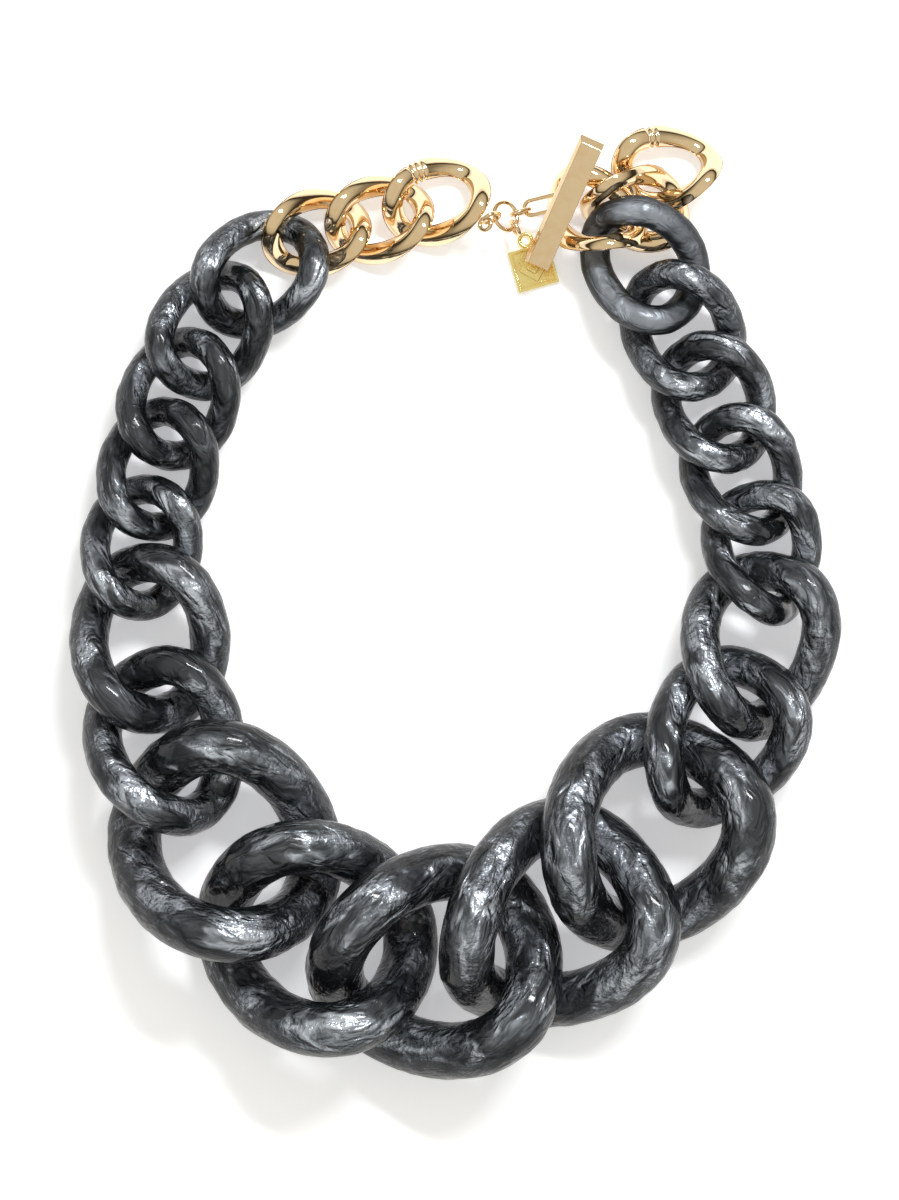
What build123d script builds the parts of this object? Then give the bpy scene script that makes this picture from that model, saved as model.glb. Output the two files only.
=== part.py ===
from build123d import *
import os
from dataclasses import dataclass
from math import cos, pi, radians, sin, sqrt, tan
import numpy as np

# Chain necklace with a toggle clasp, lying flat. Millimetres and degrees, +Z up, the floor at z = 0,
# the largest link at the front (-Y) and the clasp at the back (+Y).

# ---- Driving dimensions: curb links (length, width and strand are outer sizes) ----
SMALL_LENGTH, SMALL_WIDTH, SMALL_STRAND = 33.0, 27.5, 7.0
MEDIUM_LENGTH, MEDIUM_WIDTH, MEDIUM_STRAND = 43.0, 36.0, 9.2
LARGE_LENGTH, LARGE_WIDTH, LARGE_STRAND = 55.5, 51.0, 12.4
CENTRE_LENGTH, CENTRE_WIDTH, CENTRE_STRAND = 57.0, 52.5, 13.0
GOLD_LENGTH, GOLD_WIDTH, GOLD_BAND, GOLD_THICKNESS = 25.0, 19.8, 4.9, 3.1
LINK_TWIST = 50.0          # how far each end of a curb link is twisted out of its middle plane

# ---- Driving dimensions: clasp and tag ----
WIRE = 1.0                 # round wire of the fine rings and of the brazed eyes
EYE_RADIUS = 1.4           # the radii of eyes and rings are those of their wire's middle line
RING_RADIUS = 3.2
TAG_RING_RADIUS = 1.8
FINE_LINK_LENGTH, FINE_LINK_WIDTH = 5.4, 4.2
LAST_LINK_WIDTH, LAST_LINK_PLAY = 4.4, 0.5
BRAZE_DEPTH = 0.3          # how far an eye's wire sinks into what it is brazed to
BAR_LENGTH, BAR_WIDTH, BAR_THICKNESS = 30.5, 5.7, 3.0
BAR_BEVEL, BAR_END_BEVEL = 0.9, 1.6
TAG_SIDE, TAG_THICKNESS = 9.0, 1.3
TAG_BORDER, TAG_RECESS = 0.7, 0.35
TAG_STEPS = (0.62, 0.3)    # sides of the stepped relief's diamonds, as shares of the recess's side

# ---- Driving dimensions: how the pieces lie ----
SMALL_AIR, MEDIUM_AIR, LARGE_AIR, GOLD_AIR = 0.75, 1.0, 1.3, 0.4    # least air between curb links
FINE_AIR = 0.14            # least air beside the fine rings and the tag
BAR_AIR = 0.8              # air below the bar, over what the settled bar would touch
FRONT_YAW = 5.0            # turn of the centre link
CLASP_GAP = 8.6            # between the two gold links that the clasp joins
CLASP_EYE_TURN = -50.0     # where the eye sits round the last left gold link
BAR_SHIFT, BAR_YAW = 4.6, -90.0    # the bar's place along the toggle ring, and its turn across the ring
TAG_YAW = -62.0
FIRST_LEAN, SECOND_LEAN = 75.0, 90.0    # lean of the two oval links about the fine chain's line

# ---- How the pieces are settled ----
LINK_STEPS, CLASP_STEPS = 700, 500
LINK_PULL, CLASP_PULL = 0.02, 0.01     # share of the way home, and fall in mm, at each early step
EARLY_SHARE = 0.7          # the last steps have no pull and a fifth of the fall
CURL_RANGE, CURL_HALVINGS = (0.6, 1.4), 40
SAMPLES = 48               # balls along a curb link's middle line
TURN_ARM = 0.6             # arm that a push turns a piece by, as a share of its size
BALL_REACH = 1.2           # pieces further apart than this share of their sizes don't meet
NEIGHBOURS = 5             # how many pieces further along a piece may meet

# Links outwards from the centre link: name, kind, bend from the link before, play along the chain
RIGHT_SIDE = [
    ("right_large_link_1", "large", 34.0, 1.8),
    ("right_large_link_2", "large", 9.0, 2.8),
    ("right_medium_link_1", "medium", 4.0, 0.6),
    ("right_medium_link_2", "medium", 30.0, 3.2),
    ("right_small_link_1", "small", 17.0, 0.8),
    ("right_small_link_2", "small", 8.0, 1.0),
    ("right_small_link_3", "small", 5.0, 1.0),
    ("right_small_link_4", "small", 6.0, 0.8),
    ("right_small_link_5", "small", 7.0, 1.0),
    ("right_gold_link_1", "gold", 32.0, 1.0),
]
LEFT_SIDE = [
    ("left_large_link_1", "large", -37.0, 4.0),
    ("left_large_link_2", "large", -26.0, 0.6),
    ("left_medium_link_1", "medium", -11.0, 1.2),
    ("left_medium_link_2", "medium", -14.0, 1.6),
    ("left_small_link_1", "small", -13.0, 0.8),
    ("left_small_link_2", "small", -9.0, 1.9),
    ("left_small_link_3", "small", -5.0, 2.6),
    ("left_small_link_4", "small", -11.0, 2.0),
    ("left_small_link_5", "small", -17.0, 2.4),
    ("left_gold_link_1", "gold", -26.0, 1.2),
    ("left_gold_link_2", "gold", -2.0, 0.6),
    ("left_gold_link_3", "gold", 6.0, 2.0),
]
# Spare links beyond the toggle ring: name, turn, and place from the link before, in that link's axes
SPARE_LINKS = [
    ("right_gold_link_2", -155.0, -11.0, -5.5),
    ("right_gold_link_3", 18.0, 6.0, 8.6),
]


# ---- Curb link shape ----

@dataclass
class LinkKind:
    """Outer sizes of a curb link and of its strand's section."""
    length: float
    width: float
    band: float
    thickness: float
    air: float

    @property
    def reach(self):
        """Half length of the strand's middle line."""
        return (self.length - self.band) / 2

    @property
    def spread(self):
        """Half width of the strand's middle line."""
        return (self.width - self.band) / 2

    @property
    def hold(self):
        """From the link's middle to the neighbour that pulls on its end."""
        return self.length / 2 - self.band


KINDS = {
    "small": LinkKind(SMALL_LENGTH, SMALL_WIDTH, SMALL_STRAND, SMALL_STRAND, SMALL_AIR),
    "medium": LinkKind(MEDIUM_LENGTH, MEDIUM_WIDTH, MEDIUM_STRAND, MEDIUM_STRAND, MEDIUM_AIR),
    "large": LinkKind(LARGE_LENGTH, LARGE_WIDTH, LARGE_STRAND, LARGE_STRAND, LARGE_AIR),
    "centre": LinkKind(CENTRE_LENGTH, CENTRE_WIDTH, CENTRE_STRAND, CENTRE_STRAND, LARGE_AIR),
    "gold": LinkKind(GOLD_LENGTH, GOLD_WIDTH, GOLD_BAND, GOLD_THICKNESS, GOLD_AIR),
}


def strand_point(kind, turn):
    """A point of the strand's middle line: an oval from above, its ends twisted out of the flat."""
    across = kind.spread * sin(turn)
    twist = -radians(LINK_TWIST) * cos(turn)
    return np.array([kind.reach * cos(turn), across, across * tan(twist)])


def strand_frame(kind, turn, step=1e-4):
    """Middle point, direction outwards in the band and direction through the band."""
    ahead = strand_point(kind, turn + step) - strand_point(kind, turn - step)
    ahead /= np.linalg.norm(ahead)
    twist = -radians(LINK_TWIST) * cos(turn)
    through = np.array([0.0, -sin(twist), cos(twist)])
    through -= ahead * through.dot(ahead)
    through /= np.linalg.norm(through)
    return strand_point(kind, turn), np.cross(ahead, through), through


def section(kind, turn):
    """Two arcs that meet at the band's outer and inner edge: a circle when the band is round."""
    middle, outwards, through = strand_frame(kind, turn)
    outer, inner = middle + outwards * kind.band / 2, middle - outwards * kind.band / 2
    top, bottom = middle + through * kind.thickness / 2, middle - through * kind.thickness / 2
    return Wire([
        Edge.make_three_point_arc(Vector(*outer), Vector(*top), Vector(*inner)),
        Edge.make_three_point_arc(Vector(*inner), Vector(*bottom), Vector(*outer)),
    ])


def curb_link(kind, sections=16):
    """A twisted oval link, lofted in two halves that join at its two ends."""
    halves = []
    for start in (0.0, pi):
        turns = [start + pi * i / sections for i in range(sections + 1)]
        halves.append(Solid.make_loft([section(kind, turn) for turn in turns]))
    return halves[0].fuse(halves[1])


# ---- Clasp and tag shapes ----

def oval_ring(length, width):
    """A flat ring of round wire with straight sides, its length and width measured outside."""
    end = (width - WIRE) / 2
    straight = (length - width) / 2
    if straight < WIRE / 100:
        return Solid.make_torus(end, WIRE / 2)
    ring = []
    for side in (-1, 1):
        bow = Pos(side * straight, 0, 0) * Solid.make_torus(end, WIRE / 2)
        keep = Pos(side * (straight + length), 0, 0) * Box(2 * length, 2 * width, 2 * WIRE)
        ring.append((bow & keep).solid())
        side_start = Plane((-straight, side * end, 0), z_dir=(1, 0, 0))
        ring.append(Solid.make_cylinder(WIRE / 2, 2 * straight, side_start))
    return ring[0].fuse(*ring[1:]).solid()


def toggle_bar():
    """A straight bar with a bevelled edge and end, and an eye below its middle."""
    bar = Box(BAR_LENGTH, BAR_WIDTH, BAR_THICKNESS)
    top = bar.faces().sort_by(Axis.Z)[-1]
    end_edge = top.edges().filter_by(Axis.Y).sort_by(Axis.X)[-1]
    bar = chamfer(end_edge, BAR_BEVEL, BAR_END_BEVEL)
    top = bar.faces().sort_by(Axis.Z)[-1]
    side_edge = top.edges().filter_by(Axis.X).sort_by(Axis.Y)[-1]
    bar = chamfer(side_edge, BAR_BEVEL)
    eye = Solid.make_torus(EYE_RADIUS, WIRE / 2, Plane(Vector(*bar_eye_middle()), z_dir=(1, 0, 0)))
    return bar.solid().fuse(eye).solid()


def bar_eye_middle():
    return np.array([0.0, 0.0, -(BAR_THICKNESS / 2 + EYE_RADIUS + WIRE / 2 - BRAZE_DEPTH)])


def tag_eye_middle():
    return np.array([-(TAG_SIDE / 2 + EYE_RADIUS + WIRE / 2 - BRAZE_DEPTH), 0.0, 0.0])


def tag():
    """A square plate with a raised border, a plain stepped relief and an eye at one edge."""
    inner = TAG_SIDE - 2 * TAG_BORDER
    plate = Box(TAG_SIDE, TAG_SIDE, TAG_THICKNESS)
    plate -= Pos(0, 0, TAG_THICKNESS / 2) * Box(inner, inner, 2 * TAG_RECESS)
    floor = TAG_THICKNESS / 2 - TAG_RECESS
    for share in TAG_STEPS:
        diamond = Rot(0, 0, 45) * Rectangle(inner * share, inner * share)
        plate += Pos(0, 0, floor) * extrude(diamond, TAG_RECESS / len(TAG_STEPS))
        floor += TAG_RECESS / len(TAG_STEPS)
    eye = Solid.make_torus(EYE_RADIUS, WIRE / 2, Plane(Vector(*tag_eye_middle())))
    return plate.solid().fuse(eye).solid()


def clasp_eye_middle(kind):
    """Middle of the eye on a gold link's rim, and the eye's axis."""
    middle, outwards, through = strand_frame(kind, radians(CLASP_EYE_TURN))
    return middle + outwards * (kind.band / 2 + EYE_RADIUS + WIRE / 2 - BRAZE_DEPTH), outwards, through


def clasp_end_link(kind):
    """The last left gold link, with the eye that holds the fine chain."""
    middle, _, through = clasp_eye_middle(kind)
    eye = Solid.make_torus(EYE_RADIUS, WIRE / 2, Plane(Vector(*middle), z_dir=Vector(*through)))
    return curb_link(kind).fuse(eye).solid()


# ---- How the pieces lie: each is a cloud of balls, pushed apart until all have their clearance ----

def turned(axis, angle):
    """Rotation matrix about a row axis, the angle in degrees."""
    c, s = cos(radians(angle)), sin(radians(angle))
    i, j = {"x": (1, 2), "y": (2, 0), "z": (0, 1)}[axis]
    matrix = np.eye(3)
    matrix[i, i], matrix[i, j], matrix[j, i], matrix[j, j] = c, -s, s, c
    return matrix


def small_turn(vector):
    """Rotation matrix of a rotation vector in radians."""
    angle = np.linalg.norm(vector)
    if angle < 1e-12:
        return np.eye(3)
    x, y, z = vector / angle
    cross = np.array([[0, -z, y], [z, 0, -x], [-y, x, 0]])
    return np.eye(3) + sin(angle) * cross + (1 - cos(angle)) * cross @ cross


def basis(x_axis, z_hint):
    """Rotation matrix with its first axis along x_axis and its third as near z_hint as it can be."""
    x_axis = x_axis / np.linalg.norm(x_axis)
    y_axis = np.cross(z_hint, x_axis)
    y_axis /= np.linalg.norm(y_axis)
    return np.stack([x_axis, y_axis, np.cross(x_axis, y_axis)], axis=1)


class Piece:
    """A rigid piece: its balls in its own axes, its place and its turn."""

    def __init__(self, name, balls, place, turn, air, fixed=False):
        self.name, self.air, self.fixed = name, air, fixed
        self.points = np.array([ball[:3] for ball in balls], float)
        self.radii = np.array([ball[3] for ball in balls], float)
        self.place, self.turn = np.array(place, float), turn
        self.size = np.linalg.norm(self.points, axis=1).max()
        self.home, self.home_turn = self.place.copy(), turn.copy()

    def world(self):
        return self.points @ self.turn.T + self.place

    def at(self, point):
        """A point of the piece's own axes, in the row's frame."""
        return self.turn @ np.array(point, float) + self.place

    def rest_on_floor(self):
        self.place[2] -= (self.world()[:, 2] - self.radii).min()


def link_balls(kind):
    """Balls along the strand, and beside its middle line where the band is flat."""
    balls = []
    arc = (kind.band ** 2 + kind.thickness ** 2) / (4 * kind.thickness)
    shares = (0.0,) if kind.band == kind.thickness else (-0.8, -0.45, 0.0, 0.45, 0.8)
    for i in range(SAMPLES):
        middle, outwards, _ = strand_frame(kind, 2 * pi * i / SAMPLES)
        for share in shares:
            offset = share * kind.band / 2
            radius = sqrt(arc ** 2 - offset ** 2) - arc + kind.thickness / 2
            balls.append((*(middle + outwards * offset), radius))
    return balls


def ring_balls(length, width, middle=(0, 0, 0), turn=None, count=28):
    """Balls along a flat ring's wire."""
    end, straight = (width - WIRE) / 2, (length - width) / 2
    balls = []
    for i in range(count):
        angle = 2 * pi * (i + 0.5) / count
        side = straight if cos(angle) > 0 else -straight
        point = np.array([end * cos(angle) + side, end * sin(angle), 0.0])
        if turn is not None:
            point = turn @ point
        balls.append((*(point + np.array(middle)), WIRE / 2))
    for i in range(1, 4):
        for side in (-1, 1):
            if straight > WIRE / 100:
                balls.append((straight * (i / 2 - 1), side * end, 0.0, WIRE / 2))
    return balls


def bar_balls(count=30):
    """Balls through the bar's lower half, without its eye."""
    radius = BAR_THICKNESS / 6
    reach, row = BAR_LENGTH / 2 - radius, BAR_WIDTH / 2 - radius
    return [
        (reach * (2 * i / count - 1), share * row, radius - BAR_THICKNESS / 2, radius)
        for i in range(count + 1) for share in (-1, -0.5, 0, 0.5, 1)
    ]


def tag_balls():
    radius = TAG_THICKNESS / 2
    reach, count = TAG_SIDE / 2 - radius, 7
    plate = [
        (reach * (2 * i / (count - 1) - 1), reach * (2 * j / (count - 1) - 1), 0.0, radius)
        for i in range(count) for j in range(count)
    ]
    return plate + ring_balls(2 * EYE_RADIUS + WIRE, 2 * EYE_RADIUS + WIRE, tag_eye_middle(), count=16)


def push(piece, points, forces, moves, turns, share):
    """Add the shift and the turn that a set of pushes gives a piece."""
    weights = np.linalg.norm(forces, axis=1)
    scale = share * weights.max() / weights.sum()
    moves[piece.name] += forces.sum(axis=0) * scale
    torque = np.cross(points - piece.place, forces).sum(axis=0)
    turns[piece.name] += torque * scale / (TURN_ARM * piece.size) ** 2


def settle(pieces, pairs, steps, pull):
    """Lower the pieces on the floor, draw them to their homes and push them clear of each other."""
    for step in range(steps):
        early = step < EARLY_SHARE * steps
        hold, fall = (pull, pull) if early else (0.0, pull / 5)
        world = {piece.name: piece.world() for piece in pieces}
        moves = {piece.name: np.zeros(3) for piece in pieces}
        turns = {piece.name: np.zeros(3) for piece in pieces}
        for one, two in pairs:
            if np.linalg.norm(one.place - two.place) > (one.size + two.size) * BALL_REACH:
                continue
            away = world[one.name][:, None, :] - world[two.name][None, :, :]
            distance = np.sqrt((away ** 2).sum(axis=2))
            need = one.radii[:, None] + two.radii[None, :] + min(one.air, two.air)
            first, second = np.nonzero(distance < need)
            if len(first) == 0:
                continue
            depth = (need - distance)[first, second] / distance[first, second]
            forces = away[first, second] * depth[:, None]
            heavy = one.size ** 2 / (one.size ** 2 + two.size ** 2)
            share = 0.0 if one.fixed else 1.0 if two.fixed else 1 - heavy
            push(one, world[one.name][first], forces, moves, turns, 0.5 * share)
            push(two, world[two.name][second], -forces, moves, turns, 0.5 * (1 - share))
        for piece in pieces:
            if piece.fixed:
                continue
            below = piece.radii - world[piece.name][:, 2]
            under = below > 0
            if under.any():
                lift = np.zeros((under.sum(), 3))
                lift[:, 2] = below[under]
                push(piece, world[piece.name][under], lift, moves, turns, 0.5)
            piece.place = piece.place + moves[piece.name] - np.array([0, 0, fall])
            piece.place[:2] += hold * (piece.home - piece.place)[:2]
            back = piece.home_turn @ piece.turn.T
            twice = [back[2, 1] - back[1, 2], back[0, 2] - back[2, 0], back[1, 0] - back[0, 1]]
            unwind = np.array(twice) / 2
            piece.turn = small_turn(turns[piece.name] + hold * unwind) @ piece.turn


def walk(side, curl, first_yaw):
    """Rows of (name, kind, place, yaw) outwards from the centre link, with every bend times curl."""
    rows, yaw = [], first_yaw
    place, before = np.zeros(2), KINDS["centre"]
    for name, kind_name, bend, play in side:
        kind = KINDS[kind_name]
        place = place + turned("z", yaw)[:2, 0] * (before.hold - play / 2)
        yaw += bend * curl
        place = place + turned("z", yaw)[:2, 0] * (kind.hold - play / 2)
        rows.append((name, kind, place, yaw))
        before = kind
    return rows


def closed_walk():
    """Both sides of the loop, curled until the clasp's gap is left between their last links."""
    gold = KINDS["gold"]
    reach = CLASP_GAP + gold.length
    low, high = CURL_RANGE
    for _ in range(CURL_HALVINGS):
        curl = (low + high) / 2
        right = walk(RIGHT_SIDE, curl, FRONT_YAW)
        left = walk(LEFT_SIDE, curl, 180.0 + FRONT_YAW)
        apart = (right[-1][2] - left[-1][2])[0]
        low, high = (curl, high) if apart > reach else (low, curl)
    return left, right


def link_piece(name, kind, place, yaw):
    piece = Piece(name, link_balls(kind), (place[0], place[1], 0.0), turned("z", yaw), kind.air)
    piece.kind = kind
    piece.rest_on_floor()
    return piece


def lay_out_links():
    """All curb links, settled on the floor."""
    left, right = closed_walk()
    links = [link_piece(*row) for row in reversed(left)]
    links.append(link_piece("centre_link", KINDS["centre"], (0.0, 0.0), FRONT_YAW))
    links += [link_piece(*row) for row in right]
    yaw = right[-1][3]
    for name, turn, along, across in SPARE_LINKS:
        place = links[-1].at((along, across, 0.0))
        yaw += turn
        links.append(link_piece(name, KINDS["gold"], place[:2], yaw))
    ring = next(link for link in links if link.name == "right_gold_link_1")
    bar_turn = ring.home_turn @ turned("z", BAR_YAW)
    bar = Piece("toggle_bar", bar_balls(), ring.at((BAR_SHIFT, 0.0, 0.0)), bar_turn, GOLD_AIR)
    bar.place[2] = (ring.world()[:, 2] + ring.radii).max() + BAR_THICKNESS
    bar.home = bar.place.copy()
    pieces = links + [bar]
    pairs = [(one, two) for i, one in enumerate(pieces) for two in pieces[i + 1:i + NEIGHBOURS]]
    settle(pieces, pairs, LINK_STEPS, LINK_PULL)
    bar.place[2] += BAR_AIR - GOLD_AIR
    return links, bar


def lay_out_clasp(links, bar):
    """The fine rings from the last left gold link to the bar's eye, and the tag."""
    by_name = {link.name: link for link in links}
    last, ring = by_name["left_gold_link_3"], by_name["right_gold_link_1"]
    eye, outwards, through = clasp_eye_middle(last.kind)
    outwards, through = last.turn @ outwards, last.turn @ through
    start = last.at(eye) + outwards * (EYE_RADIUS - WIRE / 2)
    bar_eye = bar.at(bar_eye_middle())
    under = ring.at((ring.kind.reach, 0.0, 0.0))
    under[2] = 2.0 * WIRE
    up = np.array([0.0, 0.0, 1.0])
    pieces, point = [], start
    ring_width = 2 * RING_RADIUS + WIRE
    plan = [
        ("clasp_link_1", FINE_LINK_LENGTH, FINE_LINK_WIDTH, FIRST_LEAN),
        ("clasp_ring", ring_width, ring_width, 0.0),
        ("clasp_link_2", FINE_LINK_LENGTH, FINE_LINK_WIDTH, SECOND_LEAN),
    ]
    for name, length, width, lean in plan:
        step = (under - point) / np.linalg.norm(under - point)
        after = point + step * (length - 2 * WIRE)
        turn = basis(step, up) @ turned("x", lean)
        piece = Piece(name, ring_balls(length, width), (point + after) / 2, turn, FINE_AIR)
        pieces.append(piece)
        point = after
    gap = bar_eye - point
    length = np.linalg.norm(gap) + 2 * WIRE + LAST_LINK_PLAY
    turn = basis(gap, np.cross(gap, bar.turn[:, 0]))
    balls = ring_balls(length, LAST_LINK_WIDTH)
    last_link = Piece("clasp_link_3", balls, (point + bar_eye) / 2, turn, FINE_AIR)
    last_link.length = length
    pieces.append(last_link)
    jump_ring = pieces[1]
    along = turned("z", TAG_YAW)[:, 0]
    ring_place = jump_ring.place + along * (RING_RADIUS + TAG_RING_RADIUS - WIRE)
    tag_ring_width = 2 * TAG_RING_RADIUS + WIRE
    tag_ring = Piece("tag_ring", ring_balls(tag_ring_width, tag_ring_width), ring_place,
                     basis(along, up) @ turned("x", 90.0), FINE_AIR)
    tag_place = ring_place + along * (TAG_RING_RADIUS - WIRE + EYE_RADIUS - tag_eye_middle()[0])
    tag_place[2] = TAG_THICKNESS
    plate = Piece("tag", tag_balls(), tag_place, turned("z", TAG_YAW), FINE_AIR)
    pieces += [tag_ring, plate]
    width = 2 * EYE_RADIUS + WIRE
    balls = ring_balls(width, width)
    clasp_eye = Piece("clasp_eye", balls, last.at(eye), basis(outwards, through), FINE_AIR, True)
    bar_ring = Piece("bar_eye", balls, bar_eye, bar.turn @ turned("y", 90.0), FINE_AIR, True)
    for fixed in (last, ring, bar):
        fixed.fixed = True
    near = pieces + [clasp_eye, bar_ring, last, ring, bar]
    pairs = [
        (one, two) for i, one in enumerate(near) for two in near[i + 1:]
        if not (one.fixed and two.fixed)
    ]
    settle(near, pairs, CLASP_STEPS, CLASP_PULL)
    return pieces


def placed(solid, piece, shift):
    """The solid at its piece's place and turn, as one solid named after its node."""
    origin = piece.place + shift
    frame = Plane(Vector(*origin), x_dir=Vector(*piece.turn[:, 0]), z_dir=Vector(*piece.turn[:, 2]))
    return Solid(solid.solid().moved(frame.location).wrapped)


def build():
    """Every node's solid, and the pieces that say where they lie."""
    links, bar = lay_out_links()
    fine = lay_out_clasp(links, bar)
    pieces = links + [bar] + fine
    shapes = {name: curb_link(kind) for name, kind in KINDS.items()}
    ring_width = 2 * RING_RADIUS + WIRE
    tag_ring_width = 2 * TAG_RING_RADIUS + WIRE
    fine_link = oval_ring(FINE_LINK_LENGTH, FINE_LINK_WIDTH)
    solids = {}
    for link in links:
        kind_name = next(name for name, kind in KINDS.items() if kind is link.kind)
        solids[link.name] = shapes[kind_name]
    solids["left_gold_link_3"] = clasp_end_link(KINDS["gold"])
    last_link = next(piece for piece in fine if piece.name == "clasp_link_3")
    solids |= {
        "toggle_bar": toggle_bar(),
        "clasp_link_1": fine_link,
        "clasp_ring": oval_ring(ring_width, ring_width),
        "clasp_link_2": fine_link,
        "clasp_link_3": oval_ring(last_link.length, LAST_LINK_WIDTH),
        "tag_ring": oval_ring(tag_ring_width, tag_ring_width),
        "tag": tag(),
    }
    boxes = [placed(solids[piece.name], piece, np.zeros(3)).bounding_box() for piece in pieces]
    low = np.min([tuple(box.min) for box in boxes], axis=0)
    high = np.max([tuple(box.max) for box in boxes], axis=0)
    shift = np.array([-(low[0] + high[0]) / 2, -(low[1] + high[1]) / 2, -low[2]])
    nodes = {piece.name: placed(solids[piece.name], piece, shift) for piece in pieces}
    return nodes, pieces, shift


nodes, pieces, shift = build()
os.makedirs("parts", exist_ok=True)
for node, solid in nodes.items():
    export_step(solid, f"parts/{node}.step")
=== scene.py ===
from math import atan, atan2, cos, hypot, pi, radians, sin, sqrt, tan

import bmesh
import bpy
import numpy as np
from bpy.props import FloatProperty, FloatVectorProperty, PointerProperty
from mathutils import Matrix, Vector, noise


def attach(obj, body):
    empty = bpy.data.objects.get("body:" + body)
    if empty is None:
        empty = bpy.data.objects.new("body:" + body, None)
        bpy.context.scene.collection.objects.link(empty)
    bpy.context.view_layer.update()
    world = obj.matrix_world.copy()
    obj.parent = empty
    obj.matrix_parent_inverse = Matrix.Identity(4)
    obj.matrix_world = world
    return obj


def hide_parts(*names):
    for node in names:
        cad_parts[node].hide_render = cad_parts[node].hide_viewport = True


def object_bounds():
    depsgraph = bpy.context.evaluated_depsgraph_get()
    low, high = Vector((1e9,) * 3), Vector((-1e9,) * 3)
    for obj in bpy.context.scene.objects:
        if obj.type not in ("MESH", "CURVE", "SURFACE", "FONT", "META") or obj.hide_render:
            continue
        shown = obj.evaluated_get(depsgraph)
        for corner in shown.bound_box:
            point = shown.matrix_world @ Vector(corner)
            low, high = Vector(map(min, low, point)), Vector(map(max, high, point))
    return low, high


bl_info = {
    "name": "Marbled Curb Necklace",
    "version": (1, 0, 0),
    "blender": (4, 5, 0),
    "location": "View3D > Sidebar > Necklace",
    "description": "Builds the links, clasp and tag of a marbled resin curb necklace on its packed frame",
    "category": "Object",
}

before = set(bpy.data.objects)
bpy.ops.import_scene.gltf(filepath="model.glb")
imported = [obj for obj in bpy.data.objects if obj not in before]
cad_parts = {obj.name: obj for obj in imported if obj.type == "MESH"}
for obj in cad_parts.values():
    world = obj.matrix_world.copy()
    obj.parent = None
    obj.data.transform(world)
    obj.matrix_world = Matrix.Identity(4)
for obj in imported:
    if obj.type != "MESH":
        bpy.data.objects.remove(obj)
CAD_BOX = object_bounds()

MM = 0.001

RESIN_LINKS = [
    *[(f"{side}_small_link_{i}", "small") for side in ("left", "right") for i in (1, 2, 3, 4, 5)],
    *[(f"{side}_medium_link_{i}", "medium") for side in ("left", "right") for i in (1, 2)],
    *[(f"{side}_large_link_{i}", "large") for side in ("left", "right") for i in (1, 2)],
    ("centre_link", "centre"),
]
SATIN_LINK = "right_small_link_5"
GOLD_LINKS = [f"{side}_gold_link_{i}" for side in ("left", "right") for i in (1, 2, 3)]
EYE_LINK = "left_gold_link_3"
# Bearing of the cast collar on a gold link, degrees from +X, and how many grooves it has
COLLARS = {"left_gold_link_3": (134.0, 3), "right_gold_link_3": (119.0, 2)}
GROOVE_SPACING = 3.0      # from groove to groove, in half widths of a groove
OVAL_RINGS = ["clasp_link_1", "clasp_link_2", "clasp_link_3"]
ROUND_RINGS = ["clasp_ring", "tag_ring"]
TAG_STEPS = (0.62, 0.3)   # sides of the tag's stepped diamonds, as shares of its field
DIAMOND_ROUND = 2.5       # rounding of the diamonds' rims, in edge rounds

WELD = 1e-6               # points of a copied solid nearer than this are one, in metres
FLAT_ANGLE = radians(1.0)     # its faces that meet at less are one face
SHARP_ANGLE = radians(20)     # its edges sharper than this are rounded,
SHORT_EDGE = 0.8 * MM     # unless they are shorter than this
ON_AXIS = 1e-3            # a sine or cosine smaller than this counts as nothing

# The cast resin's swell: two noises per metre, the second one's share, and how far both lie inwards
RIPPLE_SCALES = (190.0, 420.0)
RIPPLE_SHARE, RIPPLE_SINK = 0.6, 0.6
PATTERN_STEP = (17.3, 5.1, 9.7)   # how far the resin's pattern moves on from link to link

# How finely the strands are divided: steps round the link, and sides of the section
ROUNDS = {"small": 144, "medium": 192, "large": 192, "centre": 192, "gold": 240}
RESIN_SIDES, GOLD_SIDES = 32, 24
RING_ROUNDS, RING_SIDES = 72, 16
EYE_ROUNDS, EYE_SIDES = 40, 12
LIE_SAMPLES, LIE_ROUNDS = 4000, 5    # triangles looked at, and tries, to find how a link lies
LINE_STEPS = 96           # points along a strand's middle line
STRAND_REACH = 0.62       # a strand's surface lies within this many strand widths of that line
FLOW_STRETCH = 1.8        # how much longer the resin's pattern is along the strand than across it


def length(name, description, default):
    return FloatProperty(
        name=name, description=description, default=default, min=0.0, precision=5, unit="LENGTH"
    )


def colour(name, description, default):
    return FloatVectorProperty(
        name=name, description=description, default=default, size=4, min=0.0, max=1.0, subtype="COLOR"
    )


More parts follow.
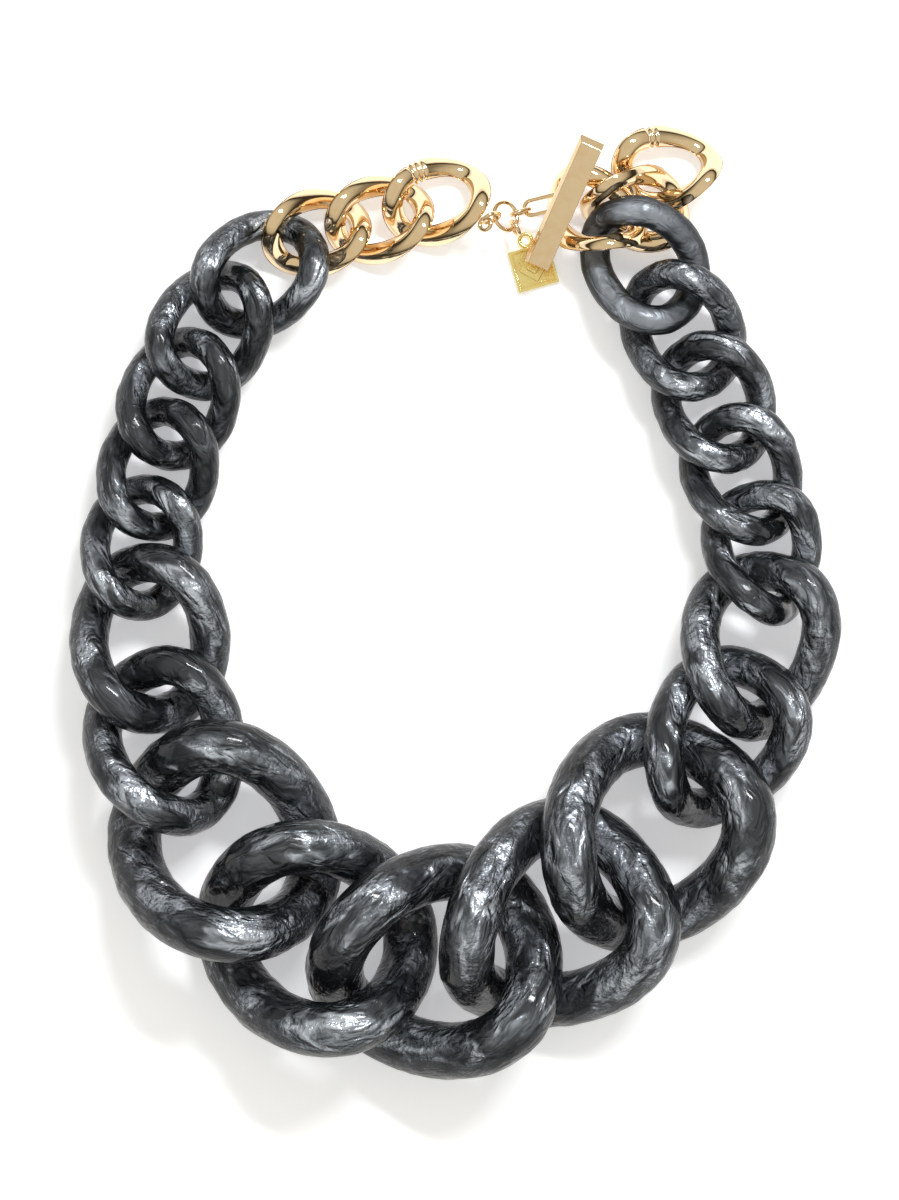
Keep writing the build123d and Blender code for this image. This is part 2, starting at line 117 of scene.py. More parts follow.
class NecklaceLinkSizes(bpy.types.PropertyGroup):
    """Outside sizes of the links, as they lie flat"""

    small_length: length("Small length", "Length of a small resin link", 33.0 * MM)
    small_width: length("Small width", "Width of a small resin link", 27.5 * MM)
    small_strand: length("Small strand", "Thickness of a small link's round strand", 7.0 * MM)
    medium_length: length("Medium length", "Length of a medium resin link", 43.0 * MM)
    medium_width: length("Medium width", "Width of a medium resin link", 36.0 * MM)
    medium_strand: length("Medium strand", "Thickness of a medium link's round strand", 9.2 * MM)
    large_length: length("Large length", "Length of a large resin link", 55.5 * MM)
    large_width: length("Large width", "Width of a large resin link", 51.0 * MM)
    large_strand: length("Large strand", "Thickness of a large link's round strand", 12.4 * MM)
    centre_length: length("Centre length", "Length of the centre link", 57.0 * MM)
    centre_width: length("Centre width", "Width of the centre link", 52.5 * MM)
    centre_strand: length("Centre strand", "Thickness of the centre link's round strand", 13.0 * MM)
    gold_length: length("Gold length", "Length of a gold link", 25.0 * MM)
    gold_width: length("Gold width", "Width of a gold link", 19.8 * MM)
    gold_strand: length("Gold band", "Width of a gold link's band, edge to edge", 4.9 * MM)
    gold_thickness: length("Gold thickness", "Thickness of a gold link's band at its crown", 3.1 * MM)
    twist: FloatProperty(
        name="Twist", description="How far a curb link's ends are twisted out of the flat",
        default=radians(50.0), subtype="ANGLE",
    )


class NecklaceFinish(bpy.types.PropertyGroup):
    """Fine sizes and colours of the surfaces"""

    ripple: length("Resin ripple", "Depth of the cast resin's soft ripples", 0.22 * MM)
    crease_round: length("Crease round", "Rounding along a gold band's sharp edges", 0.14 * MM)
    groove_depth: length("Groove depth", "Depth of the grooves in a gold link's collar", 0.8 * MM)
    groove_width: length("Groove width", "Half width of one groove in a gold link's collar", 0.42 * MM)
    wire: length("Fine wire", "Thickness of the fine rings' wire", 1.0 * MM)
    eye_radius: length("Eye radius", "Radius of a brazed eye, to the middle of its wire", 1.4 * MM)
    tag_thickness: length("Tag thickness", "Thickness of the tag's plate", 1.3 * MM)
    tag_border: length("Tag border", "Width of the tag's raised border", 0.7 * MM)
    tag_recess: length("Tag recess", "Depth of the tag's field below its border", 0.35 * MM)
    tag_slope: length("Tag slope", "Width of the slope from the tag's border to its field", 0.35 * MM)
    braze_depth: length("Braze depth", "How far an eye's wire sinks into what it is brazed to", 0.3 * MM)
    edge_round: length("Edge round", "Rounding along the edges of the bar and the tag", 0.12 * MM)
    charcoal: colour("Charcoal", "Dark base of the resin", (0.004, 0.005, 0.006, 1.0))
    slate: colour("Slate", "Middle grey of the resin's clouds", (0.022, 0.026, 0.032, 1.0))
    pearl: colour("Pearl", "Silver pearl streaks in the resin", (0.62, 0.68, 0.78, 1.0))
    gold: colour("Pale gold", "Polished plating of the links and the clasp", (0.88, 0.68, 0.44, 1.0))
    tag_gold: colour("Yellow gold", "Polished plating of the tag", (1.0, 0.84, 0.36, 1.0))


class NecklaceStage(bpy.types.PropertyGroup):
    """Camera and light"""

    view_height: length("View height", "Height of the camera over the floor", 0.95)
    framed_height: length("Framed height", "Height of the floor area in the picture", 264.0 * MM)
    framed_shift: length("Sideways shift", "How far the camera stands beside the middle", -1.3 * MM)
    floor: colour("Floor", "Pale surface under the necklace", (0.92, 0.93, 0.96, 1.0))


# ---- Where the frame's pieces lie ----

def surface_triangles(node):
    """Middle and area of each triangle of a node, in arrays."""
    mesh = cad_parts[node].data
    mesh.calc_loop_triangles()
    points = np.zeros(len(mesh.vertices) * 3, np.float32)
    mesh.vertices.foreach_get("co", points)
    faces = np.zeros(len(mesh.loop_triangles) * 3, np.int32)
    mesh.loop_triangles.foreach_get("vertices", faces)
    corners = points.astype(float).reshape(-1, 3)[faces.reshape(-1, 3)]
    across = np.cross(corners[:, 1] - corners[:, 0], corners[:, 2] - corners[:, 0])
    area = np.linalg.norm(across, axis=1) / 2
    keep = area > 0
    return corners.mean(axis=1)[keep], area[keep]


def lie(middles, areas):
    """Matrix of a piece: its long axis first, its flat axis last, from the spread of its surface."""
    centre = (middles * areas[:, None]).sum(axis=0) / areas.sum()
    away = middles - centre
    spread = (away * areas[:, None]).T @ away
    _, axes = np.linalg.eigh(spread)
    along, through = axes[:, 2], axes[:, 0]
    if through[2] < 0:
        through = -through
    across = np.cross(through, along)
    matrix = Matrix([(*row, place) for row, place in zip(np.stack([along, across, through], axis=1), centre)])
    matrix.resize_4x4()
    return matrix


def in_place(middles, place):
    """Points of the frame, in a piece's own axes."""
    return (middles - np.array(place.translation)) @ np.array(place.to_3x3())


class LinkForm:
    """A curb link's shape: an oval strand with its ends twisted out of the flat."""

    def __init__(self, sizes, kind):
        self.band = getattr(sizes, kind + "_strand")
        self.thickness = getattr(sizes, kind + "_thickness", self.band)
        self.reach = (getattr(sizes, kind + "_length") - self.band) / 2
        self.spread = (getattr(sizes, kind + "_width") - self.band) / 2
        self.twist = sizes.twist

    def middle(self, turn):
        across = self.spread * sin(turn)
        return Vector((self.reach * cos(turn), across, -across * tan(self.twist * cos(turn))))

    def directions(self, turn, step=1e-4):
        """Outwards in the band, through the band and along the strand."""
        ahead = (self.middle(turn + step) - self.middle(turn - step)).normalized()
        twist = -self.twist * cos(turn)
        through = Vector((0.0, -sin(twist), cos(twist)))
        through = (through - ahead * through.dot(ahead)).normalized()
        return ahead.cross(through), through, ahead

    def section(self, angle):
        """Point of the band's section: two arcs that meet at its outer and inner edge."""
        out = self.band / 2 * cos(angle)
        arc = (self.band ** 2 + self.thickness ** 2) / (4 * self.thickness)
        crown = sqrt(max(arc ** 2 - out ** 2, 0.0)) - arc + self.thickness / 2
        return out, crown if sin(angle) >= 0 else -crown

    def girth(self):
        """Length of the strand's middle line."""
        points = self.line(LINE_STEPS + 1)
        return sum((b - a).length for a, b in zip(points, points[1:]))

    def line(self, count=LINE_STEPS):
        """Points of the strand's middle line."""
        return [self.middle(2 * pi * i / LINE_STEPS) for i in range(count)]


def off_line(middles, line):
    """How far each of the surface's triangles lies from a line of points."""
    return np.linalg.norm(middles[:, None] - np.array([point[:] for point in line])[None], axis=2).min(axis=1)


def link_lie(node, form):
    """Matrix of a curb link, from its strand alone, without an eye that is brazed to it."""
    middles, areas = surface_triangles(node)
    some = slice(None, None, max(1, len(areas) // LIE_SAMPLES))
    middles, areas = middles[some], areas[some]
    keep = np.ones(len(areas), bool)
    for _ in range(LIE_ROUNDS):
        matrix = lie(middles[keep], areas[keep])
        keep = off_line(in_place(middles, matrix), form.line()) < STRAND_REACH * form.band
    return matrix


# ---- Mesh helpers ----

def spun_ring(rounds, sides):
    """A bmesh tube round a unit circle, with the turn and the section angle of each vertex."""
    tube = 0.25
    bm = bmesh.new()
    stand = Matrix.Translation((1, 0, 0)) @ Matrix.Rotation(pi / 2, 4, "X")
    bmesh.ops.create_circle(bm, segments=sides, radius=tube, matrix=stand)
    bmesh.ops.spin(
        bm, geom=bm.verts[:] + bm.edges[:], cent=(0, 0, 0), axis=(0, 0, 1), angle=2 * pi,
        steps=rounds, use_merge=True,
    )
    bmesh.ops.remove_doubles(bm, verts=bm.verts, dist=tube / 1000)
    flow = bm.verts.layers.float_vector.new("flow"), bm.verts.layers.float.new("flow_side")
    angles = {}
    for vert in bm.verts:
        x, y, z = vert.co
        angles[vert] = atan2(y, x), atan2(z, hypot(x, y) - 1)
    return bm, angles, flow


def set_flow(vert, flow, turn, angle, along, around, offset):
    """Pattern place that runs with the strand and meets itself all round, in millimetres."""
    vert[flow[0]] = Vector((along * cos(turn), along * sin(turn), around * cos(angle))) / MM + offset
    vert[flow[1]] = around * sin(angle) / MM


def rounded(bm, edges, offset, segments, **more):
    """Rounds edges, and gives the faces of the rounding."""
    return bmesh.ops.bevel(
        bm, geom=edges, offset=offset, segments=segments, profile=0.5, affect="EDGES", material=-1, **more
    )["faces"]


def finished(bm, name, node, material):
    """Makes the mesh an object that rides with its node's body and stands for the node."""
    bmesh.ops.recalc_face_normals(bm, faces=bm.faces)
    mesh = bpy.data.meshes.new(name)
    bm.to_mesh(mesh)
    bm.free()
    for face in mesh.polygons:
        face.use_smooth = True
    piece = bpy.data.objects.new(name, mesh)
    bpy.context.scene.collection.objects.link(piece)
    mesh.materials.append(material)
    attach(piece, node)
    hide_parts(node)
    return piece


# ---- Materials ----

def new_material(name):
    material = bpy.data.materials.new(name)
    material.use_nodes = True
    material.node_tree.nodes.clear()
    return material, material.node_tree


def node(tree, kind, inputs=None, **settings):
    """A shader node; an input is a value, or the socket that feeds it."""
    made = tree.nodes.new(kind)
    for key, value in settings.items():
        setattr(made, key, value)
    for key, value in (inputs or {}).items():
        if isinstance(value, bpy.types.NodeSocket):
            tree.links.new(value, made.inputs[key])
        else:
            made.inputs[key].default_value = value
    return made


def ramp(tree, value, stops, interpolation="EASE"):
    """Colour ramp through (place, grey or colour) stops."""
    made = node(tree, "ShaderNodeValToRGB", {"Fac": value})
    band = made.color_ramp
    band.interpolation = interpolation
    for i, (place, shade) in enumerate(stops):
        stop = band.elements[i] if i < 2 else band.elements.new(place)
        stop.position = place
        stop.color = shade if hasattr(shade, "__len__") else (shade, shade, shade, 1.0)
    return made.outputs["Color"]


def maths(tree, operation, first, second=0.0, clamp=False):
    return node(
        tree, "ShaderNodeMath", {0: first, 1: second}, operation=operation, use_clamp=clamp
    ).outputs["Value"]


def mixed(tree, factor, first, second):
    """A colour between two others."""
    made = node(tree, "ShaderNodeMix", data_type="RGBA")
    for key, value in ((0, factor), (6, first), (7, second)):
        if isinstance(value, bpy.types.NodeSocket):
            tree.links.new(value, made.inputs[key])
        else:
            made.inputs[key].default_value = value
    return made.outputs[2]


def speckle(tree, vector, scale, detail, roughness):
    """Plain noise in space."""
    return node(
        tree, "ShaderNodeTexNoise",
        {"Vector": vector, "Scale": scale, "Detail": detail, "Roughness": roughness},
    ).outputs["Fac"]


def flow_noise(tree, vector, side, scale, detail, roughness=0.55, distortion=0.0):
    """Noise along the strand's own flow, four-dimensional so that it closes all round."""
    return node(
        tree, "ShaderNodeTexNoise",
        {
            "Vector": vector, "W": side, "Scale": scale, "Detail": detail,
            "Roughness": roughness, "Distortion": distortion,
        },
        noise_dimensions="4D",
    )


def bump(tree, height, strength, distance, over=None):
    """Normal of a relief, over another relief where one is given."""
    inputs = {"Strength": strength, "Distance": distance, "Height": height}
    if over is not None:
        inputs["Normal"] = over
    return node(tree, "ShaderNodeBump", inputs).outputs["Normal"]


def scaled(tree, value, factor, offset=0.0, clamp=False):
    """The value times a factor, plus an offset."""
    return maths(tree, "ADD", maths(tree, "MULTIPLY", value, factor), offset, clamp)


def resin_material(name, finish, satin=False):
    """Cast resin: charcoal with crumpled pearl that runs with the strand, under a clear gloss, with a painted
    sheen on the pearl and painted shade towards the strand's sides.
    """
    material, tree = new_material(name)
    flow = node(tree, "ShaderNodeAttribute", attribute_name="flow").outputs["Vector"]
    side = node(tree, "ShaderNodeAttribute", attribute_name="flow_side").outputs["Fac"]
    place = node(tree, "ShaderNodeTexCoord").outputs["Object"]

    bend = flow_noise(tree, flow, side, scale=0.13, detail=2.0).outputs["Color"]
    warp = node(tree, "ShaderNodeVectorMath", {0: bend, "Scale": 9.0}, operation="SCALE").outputs["Vector"]
    wavy = node(tree, "ShaderNodeVectorMath", {0: flow, 1: warp}, operation="ADD").outputs["Vector"]

    clouds = flow_noise(tree, wavy, side, scale=0.14, detail=3.0, roughness=0.5).outputs["Fac"]
    streaks = flow_noise(
        tree, wavy, side, scale=0.28, detail=4.0, roughness=0.52, distortion=0.7
    ).outputs["Fac"]
    folds = flow_noise(tree, wavy, side, scale=0.27, detail=2.0, roughness=0.5, distortion=1.0).outputs["Fac"]
    crackle = speckle(tree, place, scale=620.0, detail=3.0, roughness=0.6)
    ripples = speckle(tree, place, scale=210.0, detail=1.0, roughness=0.4)

    # Folded pigment under the gloss: its own bump, and a painted sheen: the pearl is painted lighter where
    # the folded surface faces the view and painted darker, as painted shade, towards the strand's sides
    cloud_mask = ramp(tree, clouds, [(0.44, 0.0), (0.56, 1.0)])
    sparkle = maths(tree, "MULTIPLY", crackle, maths(tree, "MULTIPLY", cloud_mask, 0.05 if satin else 0.42))
    folded = bump(tree, maths(tree, "ADD", folds, sparkle), 0.35 if satin else 0.75, 1.9 * MM)
    facing = node(tree, "ShaderNodeLayerWeight", {"Blend": 0.5, "Normal": folded}).outputs["Facing"]
    painted_sheen = ramp(tree, facing, [(0.0, 1.0), (0.62, 0.0), (0.10, 0.90), (0.24, 0.45), (0.40, 0.08)], "LINEAR")

    # Pearl: streaks within the clouds, parted by fine dark veins
    streak_mask = ramp(tree, streaks, [(0.42, 0.0), (0.60, 1.0), (0.51, 0.35)])
    vein = ramp(
        tree, maths(tree, "ABSOLUTE", maths(tree, "SUBTRACT", streaks, 0.5)), [(0.0, 1.0), (0.018, 0.0)]
    )
    patch = scaled(tree, cloud_mask, 0.85, 0.15)
    pearl = maths(tree, "MULTIPLY", patch, scaled(tree, streak_mask, 0.85, 0.15))
    pearl = maths(tree, "MULTIPLY", pearl, scaled(tree, vein, -0.5, 1.0), True)
    if satin:
        pearl = scaled(tree, pearl, 0.45, 0.35, True)
    # Painted sheen and painted shade: the pearl's colour and metal are lighter where the folded surface faces
    # the view and darker towards the strand's sides
    shown = maths(tree, "MULTIPLY", scaled(tree, pearl, 0.97, 0.03), painted_sheen, True)
    # The slate clouds fade the same way, into painted shade at the strand's sides
    base = mixed(tree, maths(tree, "MULTIPLY", pearl, painted_sheen), tuple(finish.charcoal), tuple(finish.slate))

    shader = node(
        tree, "ShaderNodeBsdfPrincipled",
        {
            "Base Color": mixed(tree, shown, base, tuple(finish.pearl)),
            "Metallic": maths(tree, "MULTIPLY", shown, 0.8),
            "Roughness": scaled(tree, pearl, 0.06, 0.36 if satin else 0.20),
            "Normal": folded, "IOR": 1.2,
            "Coat Weight": 0.2 if satin else 0.42, "Coat Roughness": 0.10 if satin else 0.02,
            "Coat Normal": bump(tree, ripples, 0.35, 0.35 * MM), "Coat IOR": 1.45,
        },
    )
    node(tree, "ShaderNodeOutputMaterial", {"Surface": shader.outputs["BSDF"]})
    return material


def gold_material(name, tint, brushed_turn=None, grainy=0.0):
    """Plating: hand-polish waviness, faint rubbing marks, and a warmer tone in smudges."""
    material, tree = new_material(name)
    satin = brushed_turn is not None
    place = node(tree, "ShaderNodeTexCoord").outputs["Object"]
    turned = node(
        tree, "ShaderNodeMapping",
        {"Vector": place, "Rotation": (0.0, 0.0, brushed_turn or 0.0), "Scale": (1.0, 14.0, 6.0)},
    ).outputs["Vector"]
    waves = speckle(tree, place, scale=90.0, detail=1.0, roughness=0.4)
    smudge = speckle(tree, place, scale=420.0, detail=5.0, roughness=0.6)
    marks = speckle(tree, turned, scale=500.0, detail=3.0, roughness=0.65)
    grain = speckle(tree, place, scale=2200.0, detail=3.0, roughness=0.7)
    warm = (tint[0] * 0.96, tint[1] * 0.92, tint[2] * 0.84, 1.0)

    polish = bump(tree, waves, 0.12, 0.25 * MM)
    rubbed = bump(tree, marks, 0.12 if satin else 0.05, 0.03 * MM, over=polish)
    shader = node(
        tree, "ShaderNodeBsdfPrincipled",
        {
            "Base Color": mixed(tree, ramp(tree, smudge, [(0.35, 0.0), (0.75, 1.0)]), tuple(tint), warm),
            "Metallic": 1.0,
            "Roughness": scaled(tree, marks, 0.08 if satin else 0.05, 0.10 if satin else 0.035),
            "Normal": bump(tree, grain, grainy, 0.12 * MM, over=rubbed),
        },
    )
    node(tree, "ShaderNodeOutputMaterial", {"Surface": shader.outputs["BSDF"]})
    return material


def kept_material(name, make, *args, **settings):
    """The material of that name, made the first time it is asked for."""
    return bpy.data.materials.get(name) or make(name, *args, **settings)


# ---- Pieces ----

class NECKLACE_OT_resin_links(bpy.types.Operator):
    """Cast the marbled resin links"""

    bl_idname = "necklace.resin_links"
    bl_label = "Marbled Links"

    def execute(self, context):
        sizes, finish = context.scene.necklace_sizes, context.scene.necklace_finish
        marbled = kept_material("marbled_cast_resin", resin_material, finish)
        even = kept_material("satin_cast_resin", resin_material, finish, satin=True)
        for number, (name, kind) in enumerate(RESIN_LINKS):
            form = LinkForm(sizes, kind)
            place = link_lie(name, form)
            bm, angles, flow = spun_ring(ROUNDS[kind], RESIN_SIDES)
            along = form.girth() / (2 * pi) / FLOW_STRETCH
            offset = Vector([step * number for step in PATTERN_STEP])
            for vert, (turn, angle) in angles.items():
                out, up = form.section(angle)
                outwards, through, _ = form.directions(turn)
                point = form.middle(turn) + outwards * out + through * up
                broad, fine = (noise.noise(point * scale + offset) for scale in RIPPLE_SCALES)
                normal = (outwards * out + through * up).normalized()
                swell = broad + RIPPLE_SHARE * fine - RIPPLE_SINK
                vert.co = place @ (point + normal * finish.ripple * swell)
                set_flow(vert, flow, turn, angle, along, form.band / 2, offset)
            finished(bm, "marbled_" + name, name, even if name == SATIN_LINK else marbled)
        return {"FINISHED"}


def join_ring(bm, place, radius, wire):
    """Adds a small brazed ring of round wire to a piece."""
    ring, angles, _ = spun_ring(EYE_ROUNDS, EYE_SIDES)
    mesh = bpy.data.meshes.new("eye")
    for vert, (turn, angle) in angles.items():
        reach = radius + wire / 2 * cos(angle)
        vert.co = place @ Vector((reach * cos(turn), reach * sin(turn), wire / 2 * sin(angle)))
    ring.to_mesh(mesh)
    ring.free()
    bm.from_mesh(mesh)
    bpy.data.meshes.remove(mesh)


def near(turn, other):
    """Angle from one turn to another, the short way round."""
    return (turn - other + pi) % (2 * pi) - pi


def collar_grooves(name, form, place, finish):
    """The turns at which the grooves of a link's collar lie; none for a plain link."""
    if name not in COLLARS:
        return []
    bearing, count = COLLARS[name]
    heading = Vector((cos(radians(bearing)), sin(radians(bearing)), 0.0))
    turns = [2 * pi * i / ROUNDS["gold"] for i in range(ROUNDS["gold"])]
    collar = max(turns, key=lambda turn: (place.to_3x3() @ form.middle(turn)).normalized().dot(heading))
    apart = GROOVE_SPACING * finish.groove_width / (form.girth() / (2 * pi))
    return [collar + (i - (count - 1) / 2) * apart for i in range(count)]


class NECKLACE_OT_gold_links(bpy.types.Operator):
    """Forge the gold curb links with their sharp-edged bands"""

    bl_idname = "necklace.gold_links"
    bl_label = "Gold Links"

    def execute(self, context):
        sizes, finish = context.scene.necklace_sizes, context.scene.necklace_finish
        gold = kept_material("polished_gold_plate", gold_material, finish.gold)
        form = LinkForm(sizes, "gold")
        along = form.girth() / (2 * pi)
        for name in GOLD_LINKS:
            place = link_lie(name, form)
            bm, angles, _ = spun_ring(ROUNDS["gold"], GOLD_SIDES)
            grooves = collar_grooves(name, form, place, finish)
            creases = set()
            for vert, (turn, angle) in angles.items():
                out, up = form.section(angle)
                if abs(sin(angle)) < ON_AXIS:
                    up = 0.0
                    creases.add(vert)
                outwards, through, _ = form.directions(turn)
                away = [near(turn, groove) * along / finish.groove_width for groove in grooves]
                sink = max((1 - step ** 2 for step in away), default=0)
                trim = 1 - max(0.0, sink) * finish.groove_depth / form.thickness
                vert.co = place @ (form.middle(turn) + (outwards * out + through * up) * trim)
            edges = [edge for edge in bm.edges if edge.verts[0] in creases and edge.verts[1] in creases]
            crease_faces = set(rounded(bm, edges, finish.crease_round, 2))
            for edge in bm.edges:
                if sum(face in crease_faces for face in edge.link_faces) == 1:
                    edge.smooth = False
            if name == EYE_LINK:
                middles, areas = surface_triangles(name)
                line = [place @ point for point in form.line()]
                keep = off_line(middles, line) > STRAND_REACH * form.band
                join_ring(bm, lie(middles[keep], areas[keep]), finish.eye_radius, finish.wire)
            finished(bm, "gold_" + name, name, gold)
        return {"FINISHED"}


class NECKLACE_OT_fine_rings(bpy.types.Operator):
    """Wind the fine oval and round rings of the clasp"""

    bl_idname = "necklace.fine_rings"
    bl_label = "Fine Rings"

    def execute(self, context):
        finish = context.scene.necklace_finish
        gold = kept_material("polished_gold_plate", gold_material, finish.gold)
        for name in OVAL_RINGS + ROUND_RINGS:
            middles, areas = surface_triangles(name)
            place = lie(middles, areas)
            reach, spread = np.abs(in_place(middles, place)).max(axis=0)[:2]
            bend = (spread if name in OVAL_RINGS else (reach + spread) / 2) - finish.wire / 2
            straight = reach - spread if name in OVAL_RINGS else 0.0
            bm, angles, _ = spun_ring(RING_ROUNDS, RING_SIDES)
            for vert, (turn, angle) in angles.items():
                out = bend + finish.wire / 2 * cos(angle)
                side = 0.0 if abs(cos(turn)) < ON_AXIS else cos(turn) / abs(cos(turn))
                vert.co = place @ Vector(
                    (out * cos(turn) + side * straight, out * sin(turn), finish.wire / 2 * sin(angle))
                )
            finished(bm, "fine_" + name, name, gold)
        return {"FINISHED"}


def softened_copy(name, edge_round):
    """The node's solid with its sharp outer edges rounded."""
    bm = bmesh.new()
    bm.from_mesh(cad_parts[name].data)
    bmesh.ops.remove_doubles(bm, verts=bm.verts, dist=WELD)
    bmesh.ops.dissolve_limit(bm, angle_limit=FLAT_ANGLE, verts=bm.verts, edges=bm.edges)
    sharp = [
        edge for edge in bm.edges
        if edge.is_convex and edge.calc_face_angle(0.0) > SHARP_ANGLE and edge.calc_length() > SHORT_EDGE
    ]
    rounded(bm, sharp, edge_round, 3, clamp_overlap=True)
    return bm


def flat_faces(piece):
    """Faces are flat, with smooth rounds between them."""
    normal = piece.modifiers.new("Weighted Normal", "WEIGHTED_NORMAL")
    normal.keep_sharp = True
    normal.weight = 100
    for edge in piece.data.edges:
        edge.use_edge_sharp = False


class NECKLACE_OT_toggle_bar(bpy.types.Operator):
    """Round the edges of the toggle bar and give it its satin finish"""

    bl_idname = "necklace.toggle_bar"
    bl_label = "Toggle Bar"

    def execute(self, context):
        finish = context.scene.necklace_finish
        middles, areas = surface_triangles("toggle_bar")
        heading = lie(middles, areas).col[0]
        turn = -atan2(heading[1], heading[0])
        satin = kept_material("satin_gold_plate", gold_material, finish.gold, brushed_turn=turn)
        bm = softened_copy("toggle_bar", finish.edge_round)
        flat_faces(finished(bm, "clasp_bar", "toggle_bar", satin))
        return {"FINISHED"}


class NECKLACE_OT_tag(bpy.types.Operator):
    """Strike the square tag: a raised border round a plain stepped relief, with its eye"""

    bl_idname = "necklace.tag"
    bl_label = "Tag"

    def execute(self, context):
        finish = context.scene.necklace_finish
        cast = kept_material("yellow_gold_plate", gold_material, finish.tag_gold, grainy=0.45)
        middles, areas = surface_triangles("tag")
        place = lie(middles, areas)
        local = in_place(middles, place)
        low, high = local.min(axis=0), local.max(axis=0)
        side, thick = high[1] - low[1], finish.tag_thickness
        eye_end = -1.0 if -low[0] > high[0] else 1.0
        plate_end = high[0] if eye_end < 0 else low[0]
        plate = place @ Matrix.Translation((plate_end + eye_end * side / 2, (high[1] + low[1]) / 2, 0.0))
        bm = bmesh.new()
        bmesh.ops.create_cube(bm, size=1.0, matrix=Matrix.Diagonal((side, side, thick, 1.0)))
        rounded(bm, bm.edges[:], finish.edge_round, 3)
        face = max(bm.faces, key=lambda item: (round(item.normal.z, 3), item.calc_area()))
        border, recess = finish.tag_border, finish.tag_recess
        for width, depth in ((border, 0.0), (finish.tag_slope, -recess)):
            bmesh.ops.inset_region(bm, faces=[face], thickness=width, depth=depth, use_even_offset=True)
        for number, share in enumerate(TAG_STEPS, 1):
            top = thick / 2 - recess + number * recess / len(TAG_STEPS)
            span = (side - 2 * border) * share
            diamond = Matrix.Translation((0, 0, top / 2)) @ Matrix.Rotation(pi / 4, 4, "Z")
            size = Matrix.Diagonal((span, span, top, 1.0))
            block = bmesh.ops.create_cube(bm, size=1.0, matrix=diamond @ size)
            rims = dict.fromkeys(edge for vert in block["verts"] for edge in vert.link_edges)
            rounded(bm, list(rims), DIAMOND_ROUND * finish.edge_round, 2)
        bm.transform(plate)
        eye_reach = side / 2 + finish.eye_radius + finish.wire / 2 - finish.braze_depth
        eye_place = plate @ Matrix.Translation((eye_end * eye_reach, 0.0, 0.0))
        join_ring(bm, eye_place, finish.eye_radius, finish.wire)
        flat_faces(finished(bm, "square_tag", "tag", cast))
        return {"FINISHED"}


# ---- Stage ----

def studio_world():
    """A white tent with a dark rim round a paler top, for soft light and banded reflections."""
    world = bpy.data.worlds.new("studio_tent")
    world.use_nodes = True
    tree = world.node_tree
    tree.nodes.clear()
    way = node(tree, "ShaderNodeTexCoord").outputs["Generated"]
    shift = node(tree, "ShaderNodeTexNoise", {"Vector": way, "Scale": 1.3, "Detail": 0.0}).outputs["Fac"]
    height = node(tree, "ShaderNodeSeparateXYZ", {0: way}).outputs["Z"]
    height = maths(tree, "ADD", height, maths(tree, "MULTIPLY", maths(tree, "SUBTRACT", shift, 0.5), 0.30))
    tent = ramp(
        tree, height,
        [
            (0.0, 1.0), (1.0, (0.63, 0.61, 0.54, 1.0)), (0.14, 0.96),
            (0.20, (0.04, 0.034, 0.022, 1.0)), (0.31, (0.05, 0.043, 0.03, 1.0)),
            (0.47, (0.46, 0.445, 0.38, 1.0)), (0.70, (0.63, 0.61, 0.54, 1.0)),
        ],
        "LINEAR",
    )
    back = node(tree, "ShaderNodeBackground", {"Color": tent, "Strength": 1.15})
    node(tree, "ShaderNodeOutputWorld", {"Surface": back.outputs["Background"]})
    return world


def soft_box(name, place, size, power):
    """A rectangular area light at a place, aimed at the necklace's middle."""
    light = bpy.data.lights.new(name, "AREA")
    light.shape = "RECTANGLE"
    light.size, light.size_y = size
    light.energy = power
    lamp = bpy.data.objects.new(name, light)
    lamp.location = place
    lamp.rotation_euler = (-Vector(place)).to_track_quat("-Z", "Y").to_euler()
    bpy.context.scene.collection.objects.link(lamp)


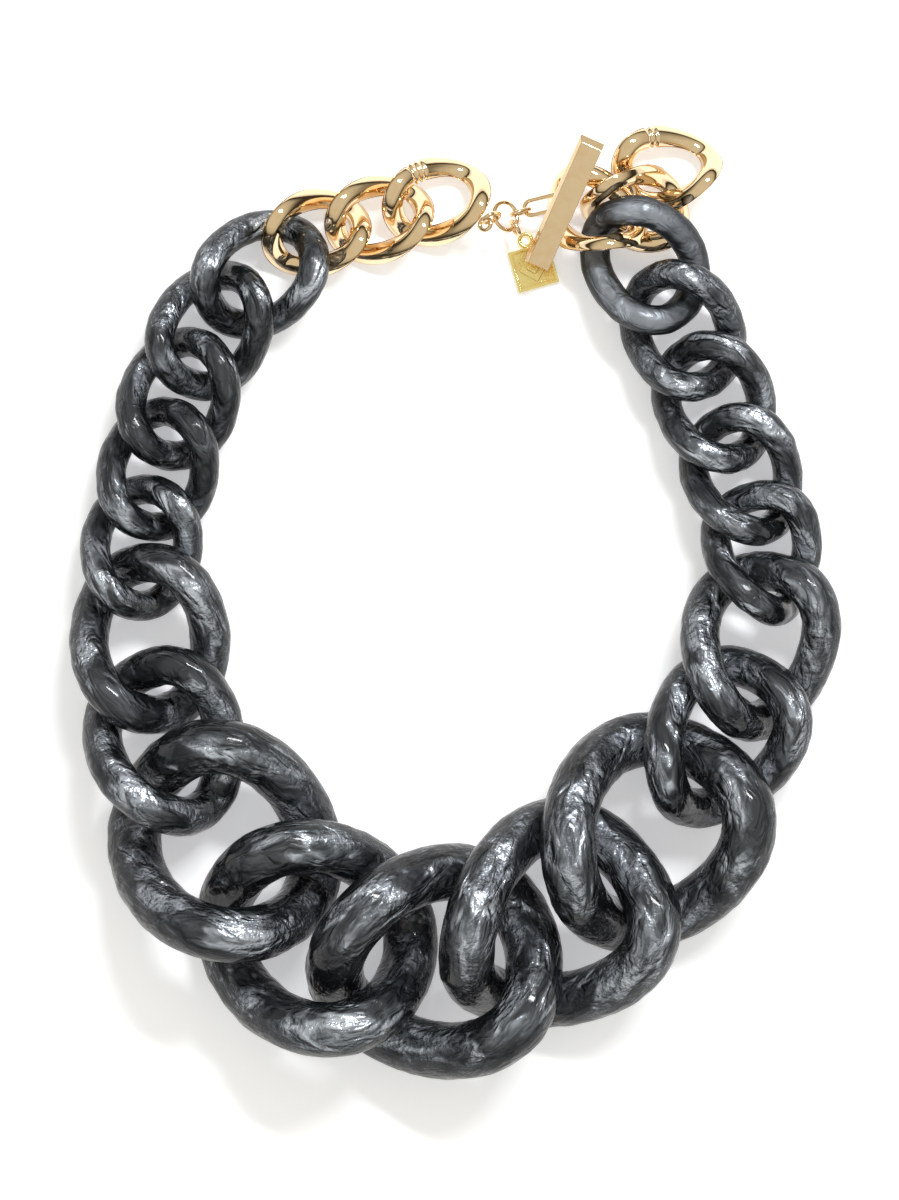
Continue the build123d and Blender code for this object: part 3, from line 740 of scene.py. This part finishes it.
class NECKLACE_OT_stage(bpy.types.Operator):
    """Set the pale floor, the soft light and the camera overhead"""

    bl_idname = "necklace.stage"
    bl_label = "Stage"

    def execute(self, context):
        stage = context.scene.necklace_stage
        material, tree = new_material("pale_floor")
        shader = node(
            tree, "ShaderNodeBsdfPrincipled",
            {
                "Base Color": tuple(stage.floor), "Roughness": 0.9, "Specular IOR Level": 0.1,
                "Emission Color": tuple(stage.floor), "Emission Strength": 0.40,
            },
        )
        node(tree, "ShaderNodeOutputMaterial", {"Surface": shader.outputs["BSDF"]})
        bm = bmesh.new()
        bmesh.ops.create_grid(bm, x_segments=1, y_segments=1, size=4.0)
        mesh = bpy.data.meshes.new("floor")
        bm.to_mesh(mesh)
        bm.free()
        mesh.materials.append(material)
        floor = bpy.data.objects.new("floor", mesh)
        floor.location.z = CAD_BOX[0].z
        context.scene.collection.objects.link(floor)

        context.scene.world = studio_world()
        soft_box("key_softbox", place=(0.25, 0.50, 0.8), size=(0.38, 0.10), power=7.0)
        context.scene.view_settings.view_transform = "Standard"

        camera = bpy.data.cameras.new("overhead")
        view = bpy.data.objects.new("overhead", camera)
        middle = (CAD_BOX[0].z + CAD_BOX[1].z) / 2
        half = atan(stage.framed_height / 2 / (stage.view_height - middle))
        camera.lens = camera.sensor_width / 2 / tan(half)
        view.location = (stage.framed_shift, 0.0, stage.view_height)
        context.scene.collection.objects.link(view)
        context.scene.camera = view
        return {"FINISHED"}


class NECKLACE_PT_panel(bpy.types.Panel):
    """Steps that build the necklace, in order"""

    bl_idname = "NECKLACE_PT_panel"
    bl_label = "Curb Necklace"
    bl_space_type = "VIEW_3D"
    bl_region_type = "UI"
    bl_category = "Necklace"

    def draw(self, context):
        layout = self.layout
        for step in STEPS:
            layout.operator(step.bl_idname)
        for group, kind in GROUPS.items():
            box = layout.box()
            for name in kind.__annotations__:
                box.prop(getattr(context.scene, group), name)


STEPS = (
    NECKLACE_OT_resin_links,
    NECKLACE_OT_gold_links,
    NECKLACE_OT_fine_rings,
    NECKLACE_OT_toggle_bar,
    NECKLACE_OT_tag,
    NECKLACE_OT_stage,
)
GROUPS = {
    "necklace_sizes": NecklaceLinkSizes,
    "necklace_finish": NecklaceFinish,
    "necklace_stage": NecklaceStage,
}


def register():
    for part in (*GROUPS.values(), *STEPS, NECKLACE_PT_panel):
        bpy.utils.register_class(part)
    for name, group in GROUPS.items():
        setattr(bpy.types.Scene, name, PointerProperty(type=group))


def unregister():
    for name in GROUPS:
        delattr(bpy.types.Scene, name)
    for part in reversed((*GROUPS.values(), *STEPS, NECKLACE_PT_panel)):
        bpy.utils.unregister_class(part)


def main():
    register()
    bpy.ops.necklace.resin_links()
    bpy.ops.necklace.gold_links()
    bpy.ops.necklace.fine_rings()
    bpy.ops.necklace.toggle_bar()
    bpy.ops.necklace.tag()
    bpy.ops.necklace.stage()


if __name__ == "__main__":
    main()
